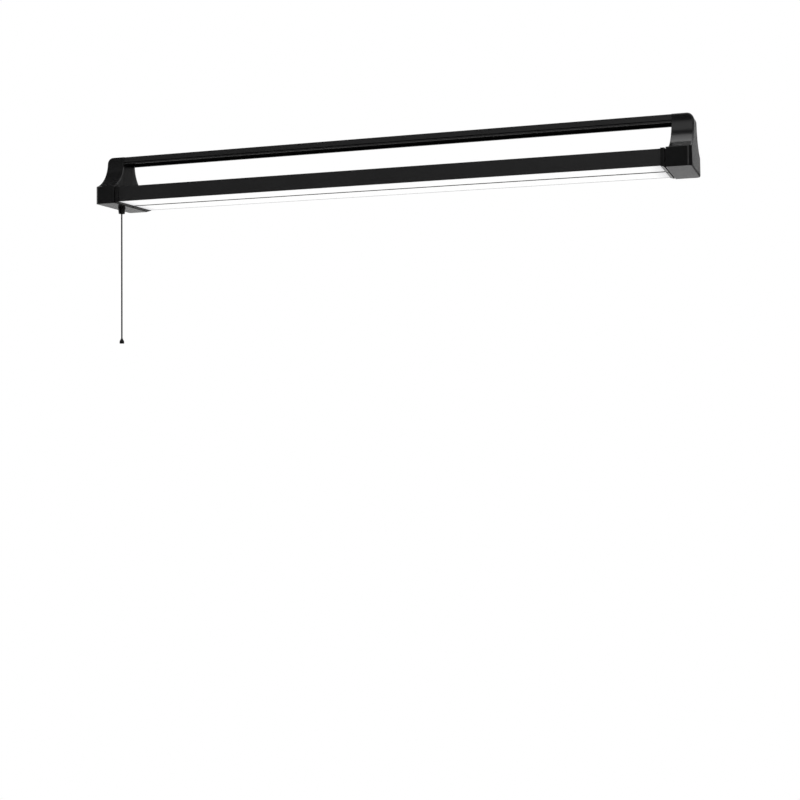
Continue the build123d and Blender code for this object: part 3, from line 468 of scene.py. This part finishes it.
def powder_coat(look):
    """Fine rippled powder coat, smoother underneath, with painted shade as a dark matt colour in the groove of the
    rail and on the rib, where the rib is also made matt.
    """
    made = Finish("powder_coat")
    ripple = made.noise(look.coat_grain, detail=3.0)
    cloud = made.noise(width=0.09)
    underside = made.z < HOUSING_BOTTOM_Z + UNDERSIDE_SKIN
    rib = underside * (abs(made.y) < RIB_HALF_WIDTH)
    groove = made.z.between(*(RAIL_BOTTOM_Z + height for height in RAIL_GROOVE))
    # Painted shade: a dark matt colour in the rail's groove and, at a smaller share, on the rib
    made.paint_shade(groove + RIB_SHADE_SHARE * rib, shade(look.coat, GROOVE_SHADE))
    return made.end(
        Base_Color=made.vary(cloud, look.coat, spread=0.14),
        Roughness=0.36 + 0.10 * ripple + 0.05 * cloud - 0.22 * underside,
        Normal=made.bump(ripple, depth=0.00005, normal=made.soften(radius=0.0004)),
        Specular_IOR_Level=0.35,
    )


def moulded(name, colour, grain, rounding, roughness):
    """Moulded plastic with a fine eroded grain, and painted shade in the groove at the seam of the end frames."""
    made = Finish(name)
    speck = made.noise(grain, detail=4.0)
    cloud = made.noise(width=0.05)
    groove = abs(made.x).between(SEAM_X - SEAM_GROOVE, SEAM_X)
    # Painted shade: a dark matt colour in the groove at the seam of the end frames
    made.paint_shade(groove, shade(colour, GROOVE_SHADE))
    return made.end(
        Base_Color=made.vary(cloud, colour, spread=0.15),
        Roughness=roughness + 0.08 * speck + 0.05 * cloud,
        Normal=made.bump(speck, depth=0.00003, normal=made.soften(rounding)),
        Specular_IOR_Level=0.35,
    )


def cap_plastic(look):
    return moulded("cap_plastic", look.moulding, look.mould_grain, rounding=0.0018, roughness=0.13)


def trim_plastic(look):
    return moulded("trim_plastic", look.trim, look.mould_grain, rounding=0.0004, roughness=0.24)


def opal_strip(look):
    """Opal plastic lit from behind, a little dimmer at the two ends."""
    made = Finish("opal_strip")
    cloud = made.noise(width=0.02)
    to_end = STRIP_END_X - abs(made.x)
    return made.end(
        Base_Color=made.vary(cloud, look.opal, spread=0.02),
        Roughness=0.42 + 0.06 * cloud,
        Normal=made.bump(cloud, depth=0.00002),
        Emission_Color=made.ramp(to_end / look.strip_fade, *STRIP_GLOW),
        Emission_Strength=1.0,
    )


def board_white(look):
    """White solder mask with copper tracks showing faintly through it."""
    made = Finish("board_white")
    track = abs(abs(made.y) + BOARD_MIDDLE_Y).between(*BOARD_TRACK)
    speck = made.noise(width=0.0006)
    return made.end(
        Base_Color=made.mix(track * TRACK_SHOW, MASK_WHITE, TRACK_PALE),
        Roughness=0.38 + 0.08 * speck,
        Normal=made.bump(track, depth=0.00003),
    )


def chip_phosphor(look):
    """White chip with a round yellow window."""
    made = Finish("chip_phosphor")
    along = ((made.x + CHIP_PITCH / 2) % CHIP_PITCH) - CHIP_PITCH / 2
    across = abs(made.y) + CHIPS_MIDDLE_Y
    window = (along * along + across * across).root() < CHIP_WINDOW
    speck = made.noise(width=0.0003)
    return made.end(
        Base_Color=made.mix(window * (0.85 + 0.15 * speck), CHIP_WHITE, PHOSPHOR),
        Roughness=0.45 - 0.25 * window,
    )


def zinc_steel(look):
    """Bright zinc plate with a faint spangle."""
    made = Finish("zinc_steel")
    spangle = made.node("ShaderNodeTexVoronoi", {}, {"Vector": made.place, "Scale": SPANGLES_PER_METRE})
    patch = made.value(spangle, "Distance")
    fine = made.noise(width=0.0008, detail=3.0, stretch=(1.0, 6.0, 6.0))
    return made.end(
        Base_Color=made.mix(patch, *ZINC),
        Metallic=1.0,
        Roughness=0.28 + 0.12 * fine + 0.08 * patch,
        Normal=made.bump(fine, depth=0.00001, normal=made.soften(radius=0.0003)),
    )


def black_screw(look):
    """Black oxide with paler, rubbed patches."""
    made = Finish("black_screw")
    fine = made.noise(width=0.0005, detail=3.0)
    return made.end(
        Base_Color=made.mix(fine, *OXIDE),
        Metallic=0.7,
        Roughness=0.36 + 0.14 * fine,
        Normal=made.bump(fine, depth=0.00001, normal=made.soften(radius=0.0002)),
    )


def circuit_green(look):
    """Green solder mask with lighter tracks."""
    made = Finish("circuit_green")
    lane = made.noise(width=0.006, detail=0.0, stretch=(0.35, 1.0, 1.0))
    track = ((lane * LANES) % 1.0) < LANE_TRACK
    speck = made.noise(width=0.0004)
    return made.end(
        Base_Color=made.mix(track, *GREEN_MASK),
        Roughness=0.30 + 0.10 * speck,
        Normal=made.bump(track, depth=0.00003),
    )


def component_dark(look):
    """Copper winding in the middle, dark sleeves and pale connectors towards the ends."""
    made = Finish("component_dark")
    from_middle = abs(made.x - DRIVER_MIDDLE_X)
    turns = (made.z * (2 * math.pi / WINDING_PITCH)).sine()
    winding = (from_middle < WINDING_HALF_WIDTH) * (turns * 0.25 + 0.75)
    fine = made.noise(width=0.0007)
    tone = made.mix(fine, *SLEEVE)
    tone = made.mix(from_middle > CONNECTOR_START, tone, CONNECTOR)
    tone = made.mix(winding, tone, COPPER)
    return made.end(Base_Color=tone, Roughness=0.32 + 0.14 * fine)


def nylon(look):
    """Natural nylon with faint flow marks."""
    made = Finish("nylon")
    flow = made.noise(width=0.004, detail=3.0, stretch=(1.0, 1.0, 0.3))
    speck = made.noise(width=0.0005)
    return made.end(
        Base_Color=made.mix(flow, *NYLON),
        Roughness=0.38 + 0.10 * speck,
        Normal=made.bump(speck, depth=0.00002, normal=made.soften(radius=0.0003)),
    )


def contact_brass(look):
    """Rolled brass."""
    made = Finish("contact_brass")
    roll = made.noise(width=0.0006, detail=3.0, stretch=(8.0, 1.0, 8.0))
    return made.end(Base_Color=made.mix(roll, *BRASS), Metallic=1.0, Roughness=0.22 + 0.16 * roll)


def grommet_rubber(look):
    """Matt black rubber."""
    made = Finish("grommet_rubber")
    fine = made.noise(width=0.0006, detail=4.0)
    return made.end(
        Base_Color=made.mix(fine, *RUBBER),
        Roughness=0.62 + 0.14 * fine,
        Normal=made.bump(fine, depth=0.00004, normal=made.soften(radius=0.0004)),
        Specular_IOR_Level=0.3,
    )


def plait(made, cord):
    """The raised strands of a braid round the upright axis of the cord, from 0 to 1."""
    turn = (made.x - SWING["pos_m"][0]).angle_of(made.y) * cord.plaits
    climb = made.z * (2 * math.pi * cord.plaits / cord.plait_pitch)
    over = (turn + climb).sine()
    under = (turn - climb).sine()
    return (over * under) * 0.5 + 0.5


def cord_braid(look):
    """Fine black braid, with painted shade in the dips between the strands and painted highlight on the tops of
    the strands.
    """
    made = Finish("cord_braid")
    strand = plait(made, bpy.context.scene.light_cord)
    fibre = made.noise(width=0.00025)
    # Painted shade in the dips of the braid and painted highlight on the tops of its strands
    shaded_hollow = shade(look.braid, 0.45)
    lit_crest = shade(look.braid, 1.3)
    return made.end(
        Base_Color=made.mix(strand * (0.7 + 0.3 * fibre), shaded_hollow, lit_crest),
        Roughness=0.72 + 0.12 * fibre,
        Normal=made.bump(strand + 0.3 * fibre, depth=0.00012),
        Specular_IOR_Level=0.15,
    )


def wire_cover(name, colours):
    """Smooth wire insulation."""
    made = Finish(name)
    cloud = made.noise(width=0.003)
    return made.end(
        Base_Color=made.mix(cloud, *colours),
        Roughness=0.30 + 0.12 * cloud,
        Normal=made.bump(cloud, depth=0.00002),
    )


def lead_brown(look):
    return wire_cover("lead_brown", BROWN)


def lead_blue(look):
    return wire_cover("lead_blue", BLUE)


def lead_white(look):
    return wire_cover("lead_white", PALE)


# The finish of each material slot, made from the finish settings
FINISHES = {
    "coated_aluminium": powder_coat,
    "cap_plastic": cap_plastic,
    "trim_plastic": trim_plastic,
    "opal": opal_strip,
    "board_white": board_white,
    "chip_phosphor": chip_phosphor,
    "zinc_steel": zinc_steel,
    "black_screw": black_screw,
    "circuit_green": circuit_green,
    "component_dark": component_dark,
    "nylon": nylon,
    "contact_brass": contact_brass,
    "grommet_rubber": grommet_rubber,
    "cord_braid": cord_braid,
    "lead_brown": lead_brown,
    "lead_blue": lead_blue,
    "lead_white": lead_white,
}
made_finishes = {}


def finish_for(slot):
    """The material of a slot, made when it is first asked for."""
    if slot not in made_finishes:
        made_finishes[slot] = FINISHES[slot](bpy.context.scene.light_finish)
    return made_finishes[slot]


def dress(*names):
    """Gives CAD nodes the finish of their material slot."""
    for name in names:
        if name not in NODES:
            raise RuntimeError(f"the frame has no node {name}")
        mesh = NODES[name].data
        mesh.materials.clear()
        mesh.materials.append(finish_for(SLOT_OF_NODE[name]))


def add_piece(name, data, body, slot, *nodes):
    """Puts a new piece in the scene on its body, in place of the CAD nodes."""
    piece = bpy.data.objects.new(name, data)
    bpy.context.scene.collection.objects.link(piece)
    data.materials.append(finish_for(slot))
    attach(piece, body)
    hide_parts(*nodes)
    return piece


def mesh_from(name, shape):
    """Turns a bmesh into a mesh with its faces outwards."""
    bmesh.ops.remove_doubles(shape, verts=shape.verts, dist=MERGE_DISTANCE)
    bmesh.ops.recalc_face_normals(shape, faces=shape.faces)
    mesh = bpy.data.meshes.new(name)
    shape.to_mesh(mesh)
    shape.free()
    mesh.shade_smooth()
    return mesh


def round_curve(name, radius, roundness, places, order):
    """A round NURBS curve along control points, with its spline."""
    data = bpy.data.curves.new(name, "CURVE")
    data.dimensions = "3D"
    data.bevel_depth = radius
    data.bevel_resolution = roundness
    spline = data.splines.new("NURBS")
    spline.points.add(len(places) - 1)
    for point, place in zip(spline.points, places):
        point.co = (*place, 1.0)
    spline.order_u = order
    return data, spline


class LIGHT_OT_stage(bpy.types.Operator):
    """Camera, floor, lamps and world"""

    bl_idname = "ceiling_light.stage"
    bl_label = "Stage"

    def execute(self, context):
        stage = context.scene.light_stage
        context.scene.view_settings.view_transform = "Standard"
        self.camera(context.scene, stage)
        self.floor(context.scene, stage)
        self.cards(context.scene)
        self.lamps(context.scene)
        self.world(context.scene, stage)
        return {"FINISHED"}

    def camera(self, scene, stage):
        data = bpy.data.cameras.new("view")
        data.lens = stage.lens
        data.clip_end = VIEW_REACH
        camera = bpy.data.objects.new("view", data)
        camera.location = stage.viewpoint
        camera.rotation_euler = (math.pi / 2 + stage.tilt, stage.roll, stage.heading)
        scene.collection.objects.link(camera)
        scene.camera = camera

    def floor(self, scene, stage):
        """Floor that pales with the distance, plain white to the camera."""
        made = Finish("floor")
        away = (made.x * made.x + made.y * made.y).root()
        tone = made.ramp(away / FLOOR_FADE, *((stop, grey(level)) for stop, level in FLOOR_TONES))
        made.end(Base_Color=tone, Roughness=0.8, Specular_IOR_Level=0.1)
        white = made.node("ShaderNodeEmission", {}, {"Strength": 1.0})
        made.cover(made.seen(stage.floor_gloss), white.outputs["Emission"])
        self.board(scene, "floor", (0, 0, -stage.floor_drop), (0, 0, 0), FLOOR_SIZE, made.material)

    def cards(self, scene):
        """Dark cards outside the view, which the dark fronts and the right end reflect."""
        for name, place, turn, size, tone in CARDS:
            made = Finish(name)
            cloud = made.noise(CARD_CLOUD)
            made.end(Base_Color=made.mix(cloud, grey(tone), grey(CARD_PALER * tone)), Roughness=0.9)
            card = self.board(scene, name, place, turn, size, made.material)
            card.visible_camera = False

    def board(self, scene, name, place, turn, size, material):
        """A flat board on the stage."""
        shape = bmesh.new()
        bmesh.ops.create_grid(shape, x_segments=1, y_segments=1, size=0.5)
        bmesh.ops.scale(shape, verts=shape.verts, vec=(*size, 1.0))
        bmesh.ops.rotate(shape, verts=shape.verts, cent=(0, 0, 0), matrix=Euler(turn).to_matrix())
        bmesh.ops.translate(shape, verts=shape.verts, vec=place)
        board = bpy.data.objects.new(name, mesh_from(name, shape))
        scene.collection.objects.link(board)
        board.data.materials.append(material)
        return board

    def lamps(self, scene):
        """Softboxes turned towards the light."""
        for name, place, size, power in SOFTBOXES:
            data = bpy.data.lights.new(name, "AREA")
            data.shape = "SQUARE"
            data.size = size
            data.energy = power
            lamp = bpy.data.objects.new(name, data)
            lamp.location = place
            lamp.rotation_euler = (-Vector(place)).to_track_quat("-Z", "Y").to_euler()
            scene.collection.objects.link(lamp)

    def world(self, scene, stage):
        """Soft light from all round, plain white to the camera and in gloss."""
        scene.world = bpy.data.worlds.new("studio")
        made = Nodes(scene.world)
        soft = made.node("ShaderNodeBackground", {}, {"Color": WHITE, "Strength": stage.world_light})
        white = made.node("ShaderNodeBackground", {}, {"Color": WHITE, "Strength": 1.0})
        blend = made.node(
            "ShaderNodeMixShader", {},
            {0: made.seen(), 1: soft.outputs["Background"], 2: white.outputs["Background"]},
        )
        made.node("ShaderNodeOutputWorld", {}, {"Surface": blend.outputs["Shader"]})


class LIGHT_OT_pull_cord(bpy.types.Operator):
    """Pull cord with its knob, its knot and the stub that holds it"""

    bl_idname = "ceiling_light.pull_cord"
    bl_label = "Pull cord"

    def execute(self, context):
        cord = context.scene.light_cord
        pivot = Vector(SWING["pos_m"])
        knot = self.knot()
        self.stub(cord, pivot)
        heights = (pivot.z, BUSH_MOUTH_Z - cord.straight, KNOB_TOP_Z + cord.straight, CORD_LOW.z)
        route = [(pivot.x, pivot.y, height) for height in heights]
        data, spline = round_curve("hanging_pull_cord", cord.diameter / 2, CORD_ROUNDNESS, route, order=3)
        data.use_fill_caps = True
        spline.use_endpoint_u = True
        spline.resolution_u = CORD_STEPS
        piece = add_piece("hanging_pull_cord", data, "hanging_cord", "cord_braid", "pull_cord")
        dress("pull_knob", "pull_bush")
        return {"FINISHED"}

    def knot(self):
        """Overhand knot in the pocket under the knob."""
        centre = (KNOT_LOW + KNOT_HIGH) / 2
        radius = (KNOT_HIGH.z - KNOT_LOW.z) / 2 / (1 + KNOT_LIFT)
        reach = ((KNOT_HIGH.x - KNOT_LOW.x) / 2 - radius) / 3
        places = []
        for i in range(KNOT_POINTS):
            t = 2 * math.pi * i / KNOT_POINTS
            x = centre.x + reach * (math.sin(t) + 2 * math.sin(2 * t))
            y = centre.y + reach * (math.cos(t) - 2 * math.cos(2 * t))
            z = centre.z - radius * KNOT_LIFT * math.sin(3 * t)
            places.append((x, y, z))
        data, spline = round_curve("pull_cord_knot", radius, KNOT_ROUNDNESS, places, order=4)
        spline.use_cyclic_u = True
        return add_piece("pull_cord_knot", data, "hanging_cord", "cord_braid", "cord_knot")

    def stub(self, cord, pivot):
        """The twisted stub between the slider and the swinging cord, with a round end at the pivot."""
        shape = bmesh.new()
        radius = cord.diameter / 2
        rise = (STUB_TOP_Z - pivot.z) / STUB_ROWS
        sides = 4 * cord.plaits
        tip = bmesh.ops.create_circle(shape, cap_ends=True, segments=sides, radius=radius)["verts"]
        for vert in tip[::2]:
            vert.co *= STUB_HOLLOW
        rim = list(shape.edges)
        bends = [math.pi / 2 * (i + 1) / DOME_ROWS for i in range(DOME_ROWS)]
        bmesh.ops.scale(shape, verts=tip, vec=(math.sin(bends[0]), math.sin(bends[0]), 1.0))
        bmesh.ops.translate(shape, verts=tip, vec=(0, 0, -radius * math.cos(bends[0])))
        for before, after in zip(bends, bends[1:]):
            share = math.sin(after) / math.sin(before)
            rim = self.next_ring(shape, rim, radius * (math.cos(before) - math.cos(after)), share, 0.0)
        for _ in range(STUB_ROWS):
            rim = self.next_ring(shape, rim, rise, 1.0, 2 * math.pi * rise / cord.plait_pitch)
        bmesh.ops.edgeloop_fill(shape, edges=rim)
        bmesh.ops.translate(shape, verts=shape.verts, vec=pivot)
        mesh = mesh_from("pull_cord_stub", shape)
        add_piece("pull_cord_stub", mesh, "puller", "cord_braid", "cord_lead")

    def next_ring(self, shape, rim, rise, share, turn):
        """Extrudes a ring of edges upwards round the axis, widened by a share and turned."""
        made = bmesh.ops.extrude_edge_only(shape, edges=rim)["geom"]
        verts = [part for part in made if isinstance(part, bmesh.types.BMVert)]
        bmesh.ops.scale(shape, verts=verts, vec=(share, share, 1.0))
        bmesh.ops.rotate(shape, verts=verts, cent=(0, 0, 0), matrix=Matrix.Rotation(turn, 3, "Z"))
        bmesh.ops.translate(shape, verts=verts, vec=(0, 0, rise))
        return [part for part in made if isinstance(part, bmesh.types.BMEdge)]


class LIGHT_OT_return_spring(bpy.types.Operator):
    """Wound return spring of the pull switch"""

    bl_idname = "ceiling_light.return_spring"
    bl_label = "Return spring"

    def execute(self, context):
        cord = context.scene.light_cord
        wire = cord.spring_wire / 2
        axis = (SPRING_LOW + SPRING_HIGH) / 2
        length = SPRING_HIGH.z - SPRING_LOW.z
        coil_radius = (SPRING_HIGH.x - SPRING_LOW.x) / 2 - wire
        steps = int(cord.spring_turns * COIL_STEPS)
        shape = bmesh.new()
        ring = bmesh.ops.create_circle(shape, segments=WIRE_SIDES, radius=wire)["verts"]
        bmesh.ops.rotate(shape, verts=ring, cent=(0, 0, 0), matrix=Matrix.Rotation(math.pi / 2, 3, "X"))
        bmesh.ops.translate(shape, verts=ring, vec=(axis.x + coil_radius, axis.y, SPRING_LOW.z + wire))
        first = shape.faces.new(ring)
        swept = bmesh.ops.spin(
            shape, geom=[first, *first.edges, *first.verts], cent=axis, axis=(0, 0, 1),
            dvec=(0, 0, (length - 2 * wire) / steps), angle=2 * math.pi * cord.spring_turns, steps=steps,
            use_merge=False, use_duplicate=False,
        )
        if not swept["geom_last"]:
            raise RuntimeError("the return spring has no end")
        mesh = mesh_from("wound_return_spring", shape)
        spring = add_piece("wound_return_spring", mesh, "fixture", "zinc_steel", "return_spring")
        travel = PULL["range_m"][1]
        (length - travel) / length
        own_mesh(spring)
        return {"FINISHED"}


class LIGHT_OT_housing(bpy.types.Operator):
    """Housing profile and rail"""

    bl_idname = "ceiling_light.housing"
    bl_label = "Housing and rail"

    def execute(self, context):
        dress("housing_profile", "rail", "hanger_inserts", "rail_screws")
        return {"FINISHED"}


class LIGHT_OT_end_caps(bpy.types.Operator):
    """End caps, pillar covers, end frames and their screws"""

    bl_idname = "ceiling_light.end_caps"
    bl_label = "End caps"

    def execute(self, context):
        for side in ("left", "right"):
            dress(f"end_cap_{side}", f"pillar_cover_{side}", f"end_frame_{side}")
        dress("cap_screws", "cover_screws", "frame_screws", "cable_grommet")
        return {"FINISHED"}


class LIGHT_OT_light_strips(bpy.types.Operator):
    """Light strips with their boards and chips"""

    bl_idname = "ceiling_light.light_strips"
    bl_label = "Light strips"

    def execute(self, context):
        for side in ("front", "rear"):
            dress(f"diffuser_{side}", f"led_board_{side}", f"led_chips_{side}")
        dress("board_screws", "led_leads")
        return {"FINISHED"}


class LIGHT_OT_driver(bpy.types.Operator):
    """Driver with its tray, lid and leads, and the terminal block"""

    bl_idname = "ceiling_light.driver"
    bl_label = "Driver"

    def execute(self, context):
        dress("driver_tray", "driver_lid", "driver_board", "driver_parts", "driver_screws")
        dress("live_lead", "switched_lead", "neutral_lead", "terminal_block", "terminal_screws")
        return {"FINISHED"}


class LIGHT_OT_pull_switch(bpy.types.Operator):
    """Case, slider, wheel and contacts of the pull switch"""

    bl_idname = "ceiling_light.pull_switch"
    bl_label = "Pull switch"

    def execute(self, context):
        dress("switch_case", "switch_lid", "contact_strips", "pull_slider", "index_wheel", "wheel_pin")
        return {"FINISHED"}


class LIGHT_PT_panel(bpy.types.Panel):
    """Sizes, colours and steps of the ceiling light"""

    bl_idname = "LIGHT_PT_panel"
    bl_label = "Ceiling light"
    bl_space_type = "VIEW_3D"
    bl_region_type = "UI"
    bl_category = "Ceiling light"

    def draw(self, context):
        for group in (context.scene.light_cord, context.scene.light_finish, context.scene.light_stage):
            box = self.layout.box()
            for name in group.__annotations__:
                box.prop(group, name)
        for operator in OPERATORS:
            self.layout.operator(operator.bl_idname)


SETTINGS = {"light_cord": CordSettings, "light_finish": FinishSettings, "light_stage": StageSettings}
OPERATORS = (
    LIGHT_OT_stage, LIGHT_OT_pull_cord, LIGHT_OT_return_spring, LIGHT_OT_housing, LIGHT_OT_end_caps,
    LIGHT_OT_light_strips, LIGHT_OT_driver, LIGHT_OT_pull_switch,
)


def register():
    for group in SETTINGS.values():
        bpy.utils.register_class(group)
    for name, group in SETTINGS.items():
        setattr(bpy.types.Scene, name, bpy.props.PointerProperty(type=group))
    for operator in OPERATORS:
        bpy.utils.register_class(operator)
    bpy.utils.register_class(LIGHT_PT_panel)


def unregister():
    bpy.utils.unregister_class(LIGHT_PT_panel)
    for operator in reversed(OPERATORS):
        bpy.utils.unregister_class(operator)
    for name, group in SETTINGS.items():
        delattr(bpy.types.Scene, name)
        bpy.utils.unregister_class(group)


def main():
    register()
    bpy.ops.ceiling_light.stage()
    bpy.ops.ceiling_light.pull_cord()
    bpy.ops.ceiling_light.return_spring()
    bpy.ops.ceiling_light.housing()
    bpy.ops.ceiling_light.end_caps()
    bpy.ops.ceiling_light.light_strips()
    bpy.ops.ceiling_light.driver()
    bpy.ops.ceiling_light.pull_switch()


if __name__ == "__main__":
    main()
